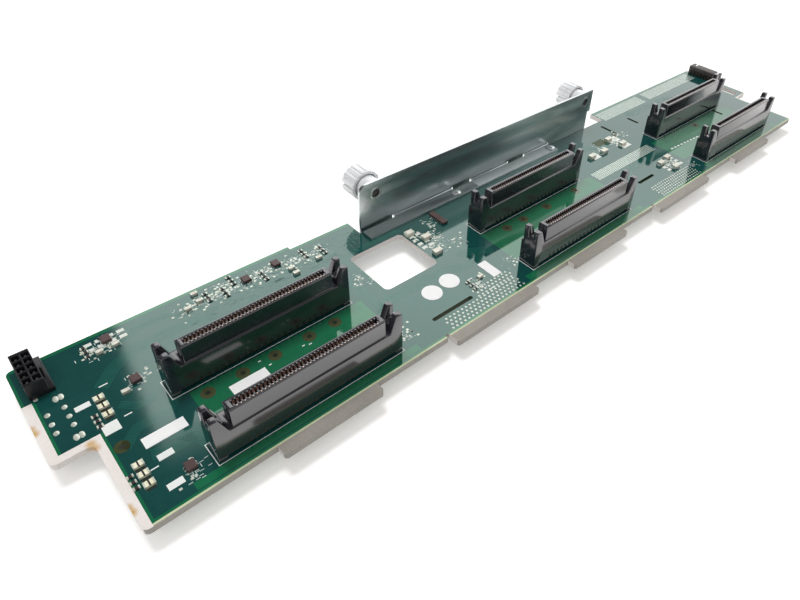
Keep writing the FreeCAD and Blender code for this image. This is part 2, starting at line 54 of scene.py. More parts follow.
def at(x, y, z=0.0):
    # board millimetres: x from the middle drive column, y from the front row, z from the top face
    return Vector((
        boardLow.x + (x - board["leftEdge"]) * mm,
        boardLow.y + (y - board["frontEdge"]) * mm,
        boardHigh.z + z * mm,
    ))


def boardPlace(point):
    # the same place the other way round, from metres to board millimetres
    return (board["leftEdge"] + (point.x - boardLow.x) / mm, board["frontEdge"] + (point.y - boardLow.y) / mm)


def fill(tree, node, sockets):
    # each socket, by name or number, is linked to another node's output or set to a value
    for key, value in sockets.items():
        socket = node.inputs[key]
        if isinstance(value, bpy.types.NodeSocket):
            tree.links.new(value, socket)
        else:
            socket.default_value = (*value[:3], 1.0) if socket.type == "RGBA" else value


def addNode(tree, kind, sockets=None, **settings):
    node = tree.nodes.new(kind)
    for key, value in settings.items():
        setattr(node, key, value)
    fill(tree, node, sockets or {})
    return node


def mathNode(tree, operation, first, second):
    return addNode(tree, "ShaderNodeMath", {0: first, 1: second}, operation=operation).outputs[0]


def vectorNode(tree, operation, first, second):
    return addNode(tree, "ShaderNodeVectorMath", {0: first, 1: second}, operation=operation)


def mixColour(tree, factor, first, second):
    # 6 and 7 are the colours of a mix
    return addNode(tree, "ShaderNodeMix", {0: factor, 6: first, 7: second}, data_type="RGBA").outputs[2]


def mixNumber(tree, factor, first, second):
    # 2 and 3 are the numbers of a mix
    return addNode(tree, "ShaderNodeMix", {0: factor, 2: first, 3: second}, data_type="FLOAT").outputs[0]


def rampNode(tree, value, bounds, low, high, **settings):
    sockets = {"Value": value, "From Min": bounds[0], "From Max": bounds[1], "To Min": low, "To Max": high}
    return addNode(tree, "ShaderNodeMapRange", sockets, **settings).outputs[0]


def newGroup(name, inputs, outputs):
    # every group takes a place as well as its own numbers, and puts out numbers
    group = bpy.data.node_groups.new(name, "ShaderNodeTree")
    for socketName, value in {"Vector": (0, 0, 0), **inputs}.items():
        kind = "NodeSocketVector" if isinstance(value, tuple) else "NodeSocketFloat"
        group.interface.new_socket(socketName, in_out="INPUT", socket_type=kind).default_value = value
    for socketName in outputs:
        group.interface.new_socket(socketName, in_out="OUTPUT", socket_type="NodeSocketFloat")
    return group, group.nodes.new("NodeGroupInput").outputs, group.nodes.new("NodeGroupOutput")


def noiseNode(tree, place, scale, detail):
    return addNode(tree, "ShaderNodeTexNoise", {"Vector": place, "Scale": scale, "Detail": detail}).outputs[0]


def makeMottleGroup():
    # slow cloudy variation over a finer grain, from 0 to 1, and the grain alone as a height
    inputs = {"Scale": 60.0, "Grain": 900.0, "Share": 0.35}
    group, source, target = newGroup("mottle", inputs, ["Mask", "Height"])
    cloud = noiseNode(group, source["Vector"], source["Scale"], 3.0)
    grain = noiseNode(group, source["Vector"], source["Grain"], 2.0)
    fill(group, target, {"Mask": mixNumber(group, source["Share"], cloud, grain), "Height": grain})
    return group


def makeSpotGroup():
    # 1 at a spot's centre and 0 past its radius
    group, source, target = newGroup("spot", {"Centre": (0, 0, 0), "Radius": 0.004}, ["Mask"])
    distance = vectorNode(group, "DISTANCE", source["Vector"], source["Centre"]).outputs["Value"]
    mask = mathNode(group, "SUBTRACT", 1.0, mathNode(group, "DIVIDE", distance, source["Radius"]))
    fill(group, target, {"Mask": addNode(group, "ShaderNodeClamp", {0: mask}).outputs[0]})
    return group


def makeBrushGroup():
    # long fine scratches along one axis
    group, source, target = newGroup("brushed", {"Stretch": (1, 1, 1), "Scale": 900.0}, ["Mask"])
    stretched = vectorNode(group, "MULTIPLY", source["Vector"], source["Stretch"]).outputs[0]
    fill(group, target, {"Mask": noiseNode(group, stretched, source["Scale"], 4.0)})
    return group


mottleGroup = makeMottleGroup()
spotGroup = makeSpotGroup()
brushGroup = makeBrushGroup()


def newMaterial(name, sockets):
    material = bpy.data.materials.new(name)
    material.use_nodes = True
    tree = material.node_tree
    shader = tree.nodes["Principled BSDF"]
    fill(tree, shader, sockets)
    return material, tree, shader


def startMaterial(name, look):
    # the plain values of a finish, and its mottle
    material, tree, shader = newMaterial(name, {
        "Metallic": look.get("metallic", 0.0), "Roughness": look["rough"][0],
        "Specular IOR Level": look.get("specular", 0.5), "Coat Weight": look.get("coat", 0.0),
        "Coat Roughness": look.get("coatRough", 0.1)})
    place = addNode(tree, "ShaderNodeTexCoord").outputs["Object"]
    values = {"Scale": look["scale"], "Grain": look["grain"], "Share": look.get("share", 0.35)}
    return material, tree, shader, place, placeGroup(tree, mottleGroup, place, **values).outputs


def placeGroup(tree, group, place, **values):
    return addNode(tree, "ShaderNodeGroup", {"Vector": place, **values}, node_tree=group)


def spread(tree, value, low, high):
    # noise stays mostly between 0.3 and 0.7, so that stretch is drawn out to low and high
    return rampNode(tree, value, (0.3, 0.7), low, high)


def paintBetween(tree, shader, mask, dark, light, rough):
    # the finish wanders between two colours and two roughnesses
    fill(tree, shader, {"Base Color": mixColour(tree, spread(tree, mask, 0.0, 1.0), dark, light),
                        "Roughness": spread(tree, mask, *rough)})


def addBump(tree, shader, height, strength, depth):
    bump = addNode(tree, "ShaderNodeBump", {"Strength": strength, "Distance": depth * mm, "Height": height})
    fill(tree, shader, {"Normal": bump.outputs[0]})


def mottledMaterial(name, dark, light, rough, scale, grain, **more):
    # a mottled finish with a fine grain in the surface
    look = {"rough": rough, "scale": scale, "grain": grain, **more}
    material, tree, shader, place, mottle = startMaterial(name, look)
    paintBetween(tree, shader, mottle["Mask"], dark, light, rough)
    if "bump" in look:
        addBump(tree, shader, mottle["Height"], look["bump"], 0.1)
    return material


laminateLook = {
    "rough": (0.5, 0.5), "specular": 0.4, "scale": 70.0, "grain": 1500.0, "share": 0.4, "bump": 0.25,
    "depth": 0.08, "scorch": (0.58, 0.36, 0.13), "spot": 2.1, "spotZ": -0.6, "burn": (0.9, 1.9),
    "scars": [(-207.2, 47.4), (-206.8, 45.2), (-195.6, 31.0), (-195.2, 28.8), (-195.6, 4.0), (-195.2, 2.0)]}


def makeLaminate(name, pale, warm):
    # bare glass-fibre board, scorched where it was broken out of its panel
    look = laminateLook
    material, tree, shader, place, mottle = startMaterial(name, look)
    colour = mixColour(tree, spread(tree, mottle["Mask"], 0.0, 1.0), warm, pale)
    for x, y in look["scars"]:
        spot = placeGroup(tree, spotGroup, place, Radius=look["spot"] * mm, Centre=at(x, y, look["spotZ"]))
        burnt = mathNode(tree, "MULTIPLY", spot.outputs["Mask"], spread(tree, mottle["Mask"], *look["burn"]))
        colour = mixColour(tree, burnt, colour, look["scorch"])
    fill(tree, shader, {"Base Color": colour})
    addBump(tree, shader, mottle["Height"], look["bump"], look["depth"])
    return material


filmLook = {
    "rough": (0.05, 0.08), "specular": 0.95, "coat": 0.3, "coatRough": 0.05, "tint": (0.76, 1.0, 0.88),
    "scale": 28.0, "grain": 420.0, "share": 0.3, "weave": 520.0, "stray": 0.6, "weaveShare": 0.12,
    "bump": 0.05, "depth": 0.06}


def makeFilmMaterial(name, dark, light):
    # solder mask: a glossy film over the board's weave, slightly wavy
    look = filmLook
    material, tree, shader, place, mottle = startMaterial(name, look)
    fill(tree, shader, {"Specular Tint": look["tint"]})
    paintBetween(tree, shader, mottle["Mask"], dark, light, look["rough"])
    sockets = {"Vector": place, "Scale": look["weave"], "Distortion": look["stray"]}
    across = addNode(tree, "ShaderNodeTexWave", sockets, bands_direction="X").outputs["Fac"]
    along = addNode(tree, "ShaderNodeTexWave", sockets, bands_direction="Y").outputs["Fac"]
    weave = mathNode(tree, "MULTIPLY", mathNode(tree, "ADD", across, along), look["weaveShare"])
    addBump(tree, shader, mathNode(tree, "ADD", weave, mottle["Height"]), look["bump"], look["depth"])
    return material


steelLook = {
    "metallic": 1.0, "rough": (0.27, 0.34), "stretch": (0.05, 1.0, 1.0), "brush": 1400.0, "brushShare": 0.3,
    "scale": 38.0, "grain": 420.0, "share": 0.2}


def makePlatedSteel(name, dark, light):
    # smooth zinc-plated sheet with a faint rolling grain
    look = steelLook
    material, tree, shader, place, mottle = startMaterial(name, look)
    brushed = placeGroup(tree, brushGroup, place, Stretch=look["stretch"], Scale=look["brush"])
    both = mathNode(tree, "ADD", mathNode(tree, "MULTIPLY", brushed.outputs["Mask"], look["brushShare"]),
                    mathNode(tree, "MULTIPLY", mottle["Mask"], 1.0 - look["brushShare"]))
    paintBetween(tree, shader, both, dark, light, look["rough"])
    return material


laminate = makeLaminate("bareLaminate", (0.84, 0.79, 0.76), (0.74, 0.68, 0.64))
# the tabs' darker laminate, on their tops and, as painted shade, on their front walls
tabAndShadedWallLaminate = makeLaminate("darkTabShadedWallLaminate", (0.36, 0.335, 0.30), (0.26, 0.24, 0.21))
rimLaminate = makeLaminate("resinRim", (0.62, 0.66, 0.44), (0.46, 0.52, 0.32))
maskGreen = makeFilmMaterial("maskGreen", (0.004, 0.105, 0.045), (0.010, 0.160, 0.070))
maskOverCopper = makeFilmMaterial("maskOverCopper", (0.004, 0.048, 0.045), (0.008, 0.070, 0.064))
trackGreen = makeFilmMaterial("maskOverTracks", (0.012, 0.100, 0.078), (0.020, 0.140, 0.105))
maskPale = makeFilmMaterial("paleMaskBand", (0.15, 0.22, 0.20), (0.21, 0.30, 0.275))
maskOlive = makeFilmMaterial("maskOverBareLaminate", (0.040, 0.052, 0.020), (0.080, 0.080, 0.032))
platedSteel = makePlatedSteel("platedSteel", (0.54, 0.58, 0.58), (0.66, 0.70, 0.70))
# a darker copy of the plated steel, painted shade on the bracket's upward faces
shadedFlangeSteel = makePlatedSteel("flangeSteelPaintedShade", (0.30, 0.34, 0.34), (0.40, 0.44, 0.44))
blackPlastic = mottledMaterial(
    "glossBlackPlastic", (0.011, 0.011, 0.015), (0.019, 0.019, 0.026), (0.17, 0.23), 90.0, 2200.0,
    bump=0.03, specular=1.0, coat=0.7)
headerPlastic = mottledMaterial(
    "satinBlackPlastic", (0.007, 0.007, 0.009), (0.012, 0.012, 0.015), (0.28, 0.38), 110.0, 2400.0,
    bump=0.08, specular=0.3)
socketPlastic = mottledMaterial(
    "greyBrownPlastic", (0.040, 0.034, 0.032), (0.075, 0.066, 0.060), (0.4, 0.55), 160.0, 1600.0,
    bump=0.15, specular=0.4)
goldContact = mottledMaterial(
    "paleGoldContact", (0.62, 0.42, 0.34), (0.88, 0.66, 0.56), (0.28, 0.42), 300.0, 2500.0,
    metallic=0.75)
tinPlate = mottledMaterial(
    "tinPlate", (0.56, 0.58, 0.57), (0.80, 0.82, 0.80), (0.22, 0.42), 260.0, 1800.0,
    metallic=1.0, bump=0.15)
solder = mottledMaterial(
    "solder", (0.60, 0.64, 0.54), (0.86, 0.89, 0.80), (0.28, 0.5), 420.0, 1500.0,
    metallic=0.55, bump=0.3)
landTin = mottledMaterial(
    "tinnedLand", (0.66, 0.68, 0.62), (0.84, 0.86, 0.80), (0.35, 0.5), 380.0, 1500.0,
    metallic=0.2, bump=0.2)
knobPlate = mottledMaterial(
    "knobPlate", (0.80, 0.81, 0.82), (0.90, 0.91, 0.92), (0.36, 0.5), 160.0, 1600.0,
    metallic=0.25, bump=0.05)
silkWhite = mottledMaterial(
    "legendInk", (0.74, 0.77, 0.74), (0.86, 0.88, 0.86), (0.45, 0.6), 240.0, 2600.0,
    bump=0.2)
silkThin = mottledMaterial(
    "thinLegendInk", (0.44, 0.54, 0.50), (0.72, 0.80, 0.76), (0.4, 0.55), 420.0, 2600.0,
    bump=0.2)
paperWhite = mottledMaterial(
    "labelPaper", (0.84, 0.84, 0.84), (0.92, 0.92, 0.91), (0.5, 0.62), 150.0, 3000.0,
    bump=0.1)
# grey painted shade on the blank label that lies on the bracket's flange
shadedLabelGrey = mottledMaterial(
    "flangeLabelPaintedShade", (0.40, 0.45, 0.45), (0.50, 0.55, 0.55), (0.4, 0.5), 150.0, 3000.0,
    metallic=0.2, bump=0.1)
ledCream = mottledMaterial(
    "lightChipCream", (0.74, 0.70, 0.46), (0.90, 0.88, 0.70), (0.3, 0.45), 380.0, 2000.0)
# near-black metal: painted shade on pins inside their headers and on the screw shanks behind the bracket
pinShade = mottledMaterial(
    "pinPaintedShade", (0.07, 0.065, 0.06), (0.15, 0.14, 0.125), (0.35, 0.5), 260.0, 1800.0,
    metallic=0.8)
chipBlack = mottledMaterial(
    "chipMoulding", (0.018, 0.014, 0.014), (0.040, 0.030, 0.030), (0.35, 0.5), 300.0, 2600.0,
    bump=0.2)
chipBrown = mottledMaterial(
    "chipBrownMoulding", (0.060, 0.036, 0.034), (0.105, 0.066, 0.062), (0.35, 0.5), 300.0, 2600.0,
    bump=0.2)
capTan = mottledMaterial(
    "ceramicTan", (0.66, 0.62, 0.52), (0.84, 0.81, 0.72), (0.35, 0.5), 330.0, 2200.0,
    bump=0.1)
holeDark = mottledMaterial(
    "holeShade", (0.010, 0.014, 0.010), (0.024, 0.030, 0.018), (0.5, 0.7), 300.0, 1500.0)
# dark olive: painted shade on the walls inside the board's slots, and the own colour of the bare patches
# beside the unfitted lands
shadedSlotWallAndBarePatch = mottledMaterial(
    "slotShadeAndBarePatchResin", (0.030, 0.050, 0.020), (0.070, 0.095, 0.042), (0.45, 0.6), 200.0, 1500.0,
    bump=0.2)
print("materials ready")


def nodeMesh(nodeName):
    # the CAD shape with its loose triangles joined at their corners
    bm = bmesh.new()
    bm.from_mesh(nodes[nodeName].data)
    bmesh.ops.remove_doubles(bm, verts=bm.verts[:], dist=weld * mm)
    return bm


def addObject(name, data):
    made = bpy.data.objects.new(name, data)
    bpy.context.scene.collection.objects.link(made)
    return made


def meshObject(name, bm, materials):
    mesh = bpy.data.meshes.new(name)
    bm.to_mesh(mesh)
    bm.free()
    for material in materials:
        mesh.materials.append(material)
    return addObject(name, mesh)


def finishPiece(name, bm, materials, body="backplane", smoothAngle=None, standsFor=None):
    # a piece that stands for a CAD node hides that node
    piece = meshObject(name, bm, materials)
    if smoothAngle is not None:
        piece.data.shade_smooth()
        piece.data.set_sharp_from_angle(angle=math.radians(smoothAngle))
    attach(piece, body)
    if standsFor:
        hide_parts(standsFor)
    return piece


rounding = {"flat": 1.0, "sharp": 25.0, "smooth": 40.0}  # degrees between faces


def copyOfNode(name, nodeName, edge, materials, body="backplane", segments=2):
    # the CAD shape with its sharp edges rounded
    bm = nodeMesh(nodeName)
    flat, least = math.radians(rounding["flat"]), math.radians(rounding["sharp"])
    bmesh.ops.dissolve_limit(bm, angle_limit=flat, verts=bm.verts[:], edges=bm.edges[:])
    sharp = [e for e in bm.edges if len(e.link_faces) == 2 and e.calc_face_angle(0) > least]
    bmesh.ops.bevel(bm, geom=sharp, offset=edge * mm, segments=segments, affect="EDGES",
                    profile=0.5, material=-1, clamp_overlap=True)
    return finishPiece(name, bm, materials, body, rounding["smooth"], standsFor=nodeName)


def paintNode(nodeName, material):
    nodes[nodeName].data.materials.clear()
    nodes[nodeName].data.materials.append(material)


def placed(middle, *size):
    return Matrix.Translation(middle) @ Matrix.Diagonal((*size, 1.0))


def markFaces(made, materialIndex):
    for face in {f for v in made["verts"] for f in v.link_faces}:
        face.material_index = materialIndex


def addBlock(bm, low, high, materialIndex=0, bevel=0.0):
    made = bmesh.ops.create_cube(bm, size=1.0, matrix=placed((high + low) / 2, *(high - low)))
    markFaces(made, materialIndex)
    if bevel:
        edges = list(dict.fromkeys(e for v in made["verts"] for e in v.link_edges))
        bmesh.ops.bevel(bm, geom=edges, offset=bevel * mm, segments=2, affect="EDGES",
                        profile=0.5, material=-1)


def addDisc(bm, centre, radius, segments, materialIndex=0):
    made = bmesh.ops.create_circle(bm, cap_ends=True, radius=radius * mm, segments=segments,
                                   matrix=Matrix.Translation(centre))
    markFaces(made, materialIndex)


def addPatch(bm, left, right, front, back, z, materialIndex=0):
    # one flat rectangle a hair above the board
    middle = at((left + right) / 2, (front + back) / 2, z)
    made = bmesh.ops.create_grid(bm, x_segments=1, y_segments=1, size=0.5,
                                 matrix=placed(middle, (right - left) * mm, (back - front) * mm, 1.0))
    markFaces(made, materialIndex)


def spaced(count, pitch):
    return [(index - (count - 1) / 2) * pitch for index in range(count)]


def sidePoints(path, offset):
    # the path moved sideways by an offset, mitred at its corners
    points = []
    for index, point in enumerate(path):
        here = Vector(point)
        before = (here - Vector(path[index - 1])).normalized() if index else None
        after = (Vector(path[index + 1]) - here).normalized() if index < len(path) - 1 else None
        first = before or after
        second = after or before
        normal = (Vector((-first.y, first.x)) + Vector((-second.y, second.x))).normalized()
        stretch = 1.0 / max(normal.dot(Vector((-first.y, first.x))), 0.5)
        points.append(here + normal * offset * stretch)
    return points


def addTrack(bm, path, width, z):
    left = sidePoints(path, width / 2)
    right = sidePoints(path, -width / 2)
    pairs = [(bm.verts.new(at(a.x, a.y, z)), bm.verts.new(at(b.x, b.y, z))) for a, b in zip(left, right)]
    for (a, b), (c, d) in zip(pairs, pairs[1:]):
        bm.faces.new((a, b, d, c))


def addBundle(bm, path, count, pitch, width, z):
    for offset in spaced(count, pitch):
        addTrack(bm, sidePoints(path, offset), width, z)


def faceAlong(bm, up, sides=3):
    # flat faces of at least so many sides are turned to look up, where up is 1, or down, where it is -1
    bm.normal_update()
    wrong = [face for face in bm.faces if len(face.verts) >= sides and face.normal.z * up < 0]
    bmesh.ops.reverse_faces(bm, faces=wrong)


surfaceFinishes = {
    "bare": laminate, "clear": maskGreen, "copper": maskOverCopper, "slot": shadedSlotWallAndBarePatch,
    "tab": tabAndShadedWallLaminate, "rim": rimLaminate}
surfaceIndex = {name: index for index, name in enumerate(surfaceFinishes)}
film = {
    "front": -4.5, "tab": -5.2, "left": -203.9, "leftBareTo": 57.6, "frontLeft": -192.3, "notch": 33.0,
    "frontRight": 190.3, "right": 202.0, "rightNotch": 30.8, "rim": 0.9, "backRim": 74.1, "stepX": -103.0,
    "stepRim": 72.3, "rightRim": 71.4, "rightStepX": 96.5, "tabFace": 1.0, "slotReach": 0.4}
clearGreen = [
    (-179, -97, -3.2, -0.4), (-40, 40, -3.2, -0.4), (99, 176, -3.2, -0.4),
    (-166, -99, 9.6, 30.4), (-35, 41, 9.6, 30.4), (96, 172, 9.6, 30.4)]
slots = [
    (-84.85, -64.75, 3.85, 5.55), (56.05, 69.05, 10.15, 11.85), (88.65, 90.35, 49.35, 59.85),
    (109.55, 111.25, 48.95, 56.45), (160.95, 162.65, 23.55, 31.85)]


def isIn(boxes, x, y, before=0.0, after=0.0):
    return any(left - before < x < right + after and front - before < y < back + after
               for left, right, front, back in boxes)


def filmKind(x, y):
    # bare laminate, clear mask over laminate, mask over a copper plane, a tab's darker top or the resin rim
    if y < film["front"] and x > film["frontLeft"]:
        return "tab" if y < film["tab"] else "rim"
    left = film["left"] if y > film["notch"] else film["frontLeft"]
    if y > film["leftBareTo"]:
        left = board["leftEdge"]
    right = film["right"] if y > film["rightNotch"] else film["frontRight"]
    if y < film["front"] or x > right or (x < left and y < film["leftBareTo"]):
        return "bare"
    backRim = film["backRim"] if x < film["stepX"] else film["stepRim"]
    if x > film["rightStepX"]:
        backRim = film["rightRim"]
    rim = film["rim"]
    if y < film["front"] + rim or y > backRim or x > right - rim or x < left + rim or isIn(clearGreen, x, y):
        return "clear"
    return "copper"


def sideKind(x, y, normal):
    # walls inside the slots take the dark slot finish, painted shade in the recess
    if isIn(slots, x, y, film["slotReach"], film["slotReach"]):
        return "slot"
    # a tab's front wall takes the tabs' darker laminate, painted shade on that wall
    return "tab" if normal.y < -0.5 and y < film["front"] + film["tabFace"] else "bare"


def makeBoardSurface():
    # the board cut along the borders of its films, each part with its own finish
    bm = nodeMesh("circuit_board")
    rim = film["rim"]
    acrosses = [board["leftEdge"] + rim, film["stepX"], film["rightStepX"]]
    acrosses += [film[edge] + shift for edge in ("left", "frontLeft") for shift in (0.0, rim)]
    acrosses += [film[edge] - shift for edge in ("right", "frontRight") for shift in (0.0, rim)]
    alongs = [film["front"] + rim, *(film[edge] for edge in (
        "tab", "front", "leftBareTo", "notch", "rightNotch", "backRim", "stepRim", "rightRim"))]
    for left, right, front, back in clearGreen:
        acrosses += [left, right]
        alongs += [front, back]
    cuts = [(at(x, 0), (1, 0, 0)) for x in sorted(set(acrosses))]
    cuts += [(at(0, y), (0, 1, 0)) for y in sorted(set(alongs))]
    for point, normal in cuts:
        everything = bm.verts[:] + bm.edges[:] + bm.faces[:]
        bmesh.ops.bisect_plane(bm, geom=everything, plane_co=point, plane_no=normal)
    for face in bm.faces:
        x, y = boardPlace(face.calc_center_median())
        kind = filmKind(x, y) if abs(face.normal.z) > 0.9 else sideKind(x, y, face.normal)
        face.material_index = surfaceIndex[kind]
    finishPiece("circuitBoardSurface", bm, surfaceFinishes.values(), standsFor="circuit_board")


makeBoardSurface()

tracks = {
    "z": 0.03, "width": 0.24, "pitch": 0.6,
    "bundles": [
        ([(-184, 16), (-178, 14.4), (-171.4, 14.4)], 7),
        ([(-189, 23), (-183.5, 28), (-174, 28), (-168, 33)], 6),
        ([(-176, 20), (-170, 13), (-169, 9.6)], 9),
        ([(-186, 50), (-180, 56), (-172, 60), (-150, 60), (-143, 54), (-104, 54),
          (-96, 46), (-96, 20)], 8),
        ([(-100, 46), (-93, 54), (-93, 56), (-60, 56)], 4),
        ([(-98, 18), (-92, 23.5), (-62, 23.5), (-56, 20), (-44, 20)], 8),
        ([(-52, 27), (-46, 25), (-38, 20.5)], 8),
        ([(42, 18), (56, 18), (62, 22), (96, 22)], 8),
        ([(38, 46), (46, 50), (60, 50), (70, 44), (86, 44)], 7),
        ([(113, 60), (118, 58), (150, 58), (160, 52), (186, 52)], 8),
        ([(-176, 66), (-168, 69), (-156, 69)], 5),
        ([(-184, 40), (-180, 36), (-174, 36)], 5),
    ],
    "strays": 120, "strayX": (-158.0, -80.0), "strayY": (57.0, 70.0), "strayRuns": (1.8, 2.6, 3.8),
    "strayBend": 1.4, "strayWidth": 0.2, "strayZ": 0.04}


def makeTracks():
    # bundles of tracks between the groups, and short stray ones behind the left connectors
    bm = bmesh.new()
    for path, count in tracks["bundles"]:
        addBundle(bm, path, count, tracks["pitch"], tracks["width"], tracks["z"])
    random.seed(7)
    for index in range(tracks["strays"]):
        x = random.uniform(*tracks["strayX"])
        y = random.uniform(*tracks["strayY"])
        run = random.choice(tracks["strayRuns"])
        bend = random.choice((-tracks["strayBend"], tracks["strayBend"]))
        path = [(x, y), (x + run, y), (x + run + abs(bend), y + bend)]
        addTrack(bm, path, tracks["strayWidth"], tracks["strayZ"])
    faceAlong(bm, 1)
    finishPiece("signalTracks", bm, [trackGreen])


makeTracks()

viaLook = {"z": 0.045, "sides": 10, "holeZ": 0.053, "holeSides": 6}
viaFields = {  # left, right, front, back, pitch across, pitch along, radius, hole
    "viaFieldMiddle": (-62.4, -42.8, 3.2, 6.6, 2.0, 1.7, 0.46, 0.12),
    "viaFieldMiddleFront": (-81.6, -42.8, -3.0, 1.4, 2.0, 1.7, 0.46, 0.12),
    "viaFieldRight": (57.0, 91.4, -3.2, 4.6, 1.7, 1.5, 0.42, 0.1),
    "viaFieldFine": (43.4, 91.6, 25.4, 30.8, 1.2, 1.08, 0.34, 0.08),
    "viaFieldBack": (98.0, 137.6, 62.8, 70.2, 1.3, 1.17, 0.34, 0.08),
    "viaFieldFarBack": (144.0, 195.4, 63.4, 70.2, 1.3, 1.17, 0.34, 0.08)}


def addVia(bm, x, y, radius, hole):
    addDisc(bm, at(x, y, viaLook["z"]), radius, viaLook["sides"])
    addDisc(bm, at(x, y, viaLook["holeZ"]), hole, viaLook["holeSides"], 1)


def makeViaField(name, left, right, front, back, pitchX, pitchY, radius, hole):
    # every second row is half a pitch to the right
    bm = bmesh.new()
    for row in range(int(round((back - front) / pitchY)) + 1):
        for column in range(int(round((right - left) / pitchX)) + 1):
            x = left + (column + row % 2 / 2) * pitchX
            if x <= right + 0.1:
                addVia(bm, x, front + row * pitchY, radius, hole)
    finishPiece(name, bm, [solder, holeDark])


for name, field in viaFields.items():
    makeViaField(name, *field)

paleStrips = {
    "z": 0.02, "boxes": [(97.2, 138.6, 62.2, 71.0), (143.0, 196.4, 62.8, 71.0), (42.9, 92.6, 25.0, 31.2)]}


# flat pale strips of mask under the fine via fields
def makePaleStrips():
    bm = bmesh.new()
    for box in paleStrips["boxes"]:
        addPatch(bm, *box, paleStrips["z"])
    finishPiece("paleMaskStrips", bm, [maskPale])


makePaleStrips()

brownPads = {
    "radius": 2.4, "hole": 0.9, "z": 0.03, "holeZ": 0.04, "single": (-189.2, 24.3, 2.3),
    "places": [(-161.4, 26.6), (-149.1, 26.8), (-137.1, 26.8), (-123.5, 26.9), (-112.8, 26.9),
               (-22.1, 26.8), (-11.5, 26.8), (4.5, 26.8), (26, 26.8), (135.7, 26.6)]}


def makeBrownPads():
    # a row between the drive connectors and a smaller one near the left end
    bm = bmesh.new()
    places = [(x, y, brownPads["radius"]) for x, y in brownPads["places"]]
    for x, y, radius in places + [brownPads["single"]]:
        addDisc(bm, at(x, y, brownPads["z"]), radius, 24)
        addDisc(bm, at(x, y, brownPads["holeZ"]), brownPads["hole"], 14, 1)
    finishPiece("bareRoundPads", bm, [maskOlive, holeDark])


makeBrownPads()

sparePower = {
    "x": [-201.8, -196.9], "y": [41.4, 45.4, 49.8], "radius": 0.95, "height": 0.22, "stretch": (0.9, 1.0),
    "hold": [(-197.2, 54.7), (-197.1, 36.2)], "lobe": 1.25, "lobeHeight": 0.12, "lobeStretch": (0.7, 1.1),
    "lobeOffset": 0.75, "extra": (-202.6, 58.3), "extraRadius": 0.7, "extraHeight": 0.2}


def addPad(bm, x, y, radius, height, stretch=(1.0, 1.0)):
    bmesh.ops.create_uvsphere(bm, u_segments=16, v_segments=8, radius=radius * mm,
                              matrix=placed(at(x, y), *stretch, height))


def makeSparePads():
    # the pads of an unused power connector, filled with solder
    look = sparePower
    bm = bmesh.new()
    for x in look["x"]:
        for y in look["y"]:
            addPad(bm, x, y, look["radius"], look["height"], look["stretch"])
    for x, y in look["hold"]:
        for offset in (-look["lobeOffset"], look["lobeOffset"]):
            addPad(bm, x + offset, y, look["lobe"], look["lobeHeight"], look["lobeStretch"])
    addPad(bm, *look["extra"], look["extraRadius"], look["extraHeight"])
    finishPiece("sparePowerPads", bm, [solder], smoothAngle=60)


makeSparePads()
print("board layers ready")

legend = {
    "z": 0.07, "line": 0.28, "halfLength": 34.6, "front": -0.2, "depth": 9.2,
    "boxes": [(-195.0, -190.5, 45.2, 47.4), (-191.4, -186.6, 30.8, 35.2), (-183.1, -178.5, 12.4, 14.8),
              (-184.9, -180.2, 1.5, 3.9)],
    "dash": 0.45,
    "dashes": [(-186.4, 50.6, 2.8), (-184.6, 34.4, 2.4), (-186.2, 11.0, 2.4), (-141.0, 24.0, 1.0),
               (-128.0, 24.2, 1.0), (-59.8, 12.4, 2.6), (-59.6, 8.0, 2.2), (-56.0, 3.0, 2.4),
               (-125.8, 23.4, 1.2), (-143.0, 27.6, 0.9)],
    "blocks": 9, "blockStart": (99.4, 19.2), "blockStep": (2.9, -0.18), "blockSize": (1.9, 1.0)}


def addLegendFrame(bm, left, right, front, back):
    line, z = legend["line"], legend["z"]
    addPatch(bm, left, right, front, front + line, z)
    addPatch(bm, left, right, back - line, back, z)
    addPatch(bm, left, left + line, front + line, back - line, z)
    addPatch(bm, right - line, right, front + line, back - line, z)


def makeLegend():
    # printed outlines, blank marking boxes, dashes and a row of small blocks
    bm = bmesh.new()
    half = legend["halfLength"]
    for column, row in drivePlaces:
        addLegendFrame(bm, column - half, column + half, row + legend["front"], row + legend["depth"])
    for box in legend["boxes"]:
        addPatch(bm, *box, legend["z"])
    for x, y, length in legend["dashes"]:
        addPatch(bm, x, x + length, y, y + legend["dash"], legend["z"])
    for index in range(legend["blocks"]):
        x, y = (start + index * step for start, step in zip(legend["blockStart"], legend["blockStep"]))
        addPatch(bm, x, x + legend["blockSize"][0], y, y + legend["blockSize"][1], legend["z"])
    finishPiece("printedLegend", bm, [silkWhite])


makeLegend()

clusters = {  # x, y and how many marks
    "marks": [(-184, 67, 30), (-177, 67.6, 45), (-175.6, 46.4, 33), (-177.6, 3.4, 33), (-151, 66.2, 24),
              (-145, 67, 33), (-139, 66.6, 39), (-133.4, 68.6, 39), (-129, 64.6, 36), (-122.6, 66.4, 42),
              (-117, 67, 36), (-111.6, 67, 39), (-106, 65, 36), (-100.4, 64.6, 33), (-94, 66.4, 27),
              (-56.6, 46.4, 24), (-55.4, 36.4, 24), (-57.4, 8.8, 30), (-47, 50.6, 24), (-45, 33.4, 24),
              (66.4, 42.6, 27), (80.4, 43.4, 51), (90, 47, 27), (-52, 42, 45), (84.8, 12, 90),
              (94.8, 3, 18), (-98.4, 10.8, 24), (-97, 4, 21), (-92.6, 40, 33), (-38.6, 9.6, 15)],
    "spread": (2.04, 2.16), "backMost": 72.6, "keepOff": (1.6, 0.5), "stroke": (1.3, 0.22),
    "pad": (0.95, 0.8), "padZ": 0.05, "via": (0.42, 0.16), "shares": (0.36, 0.62, 0.86)}


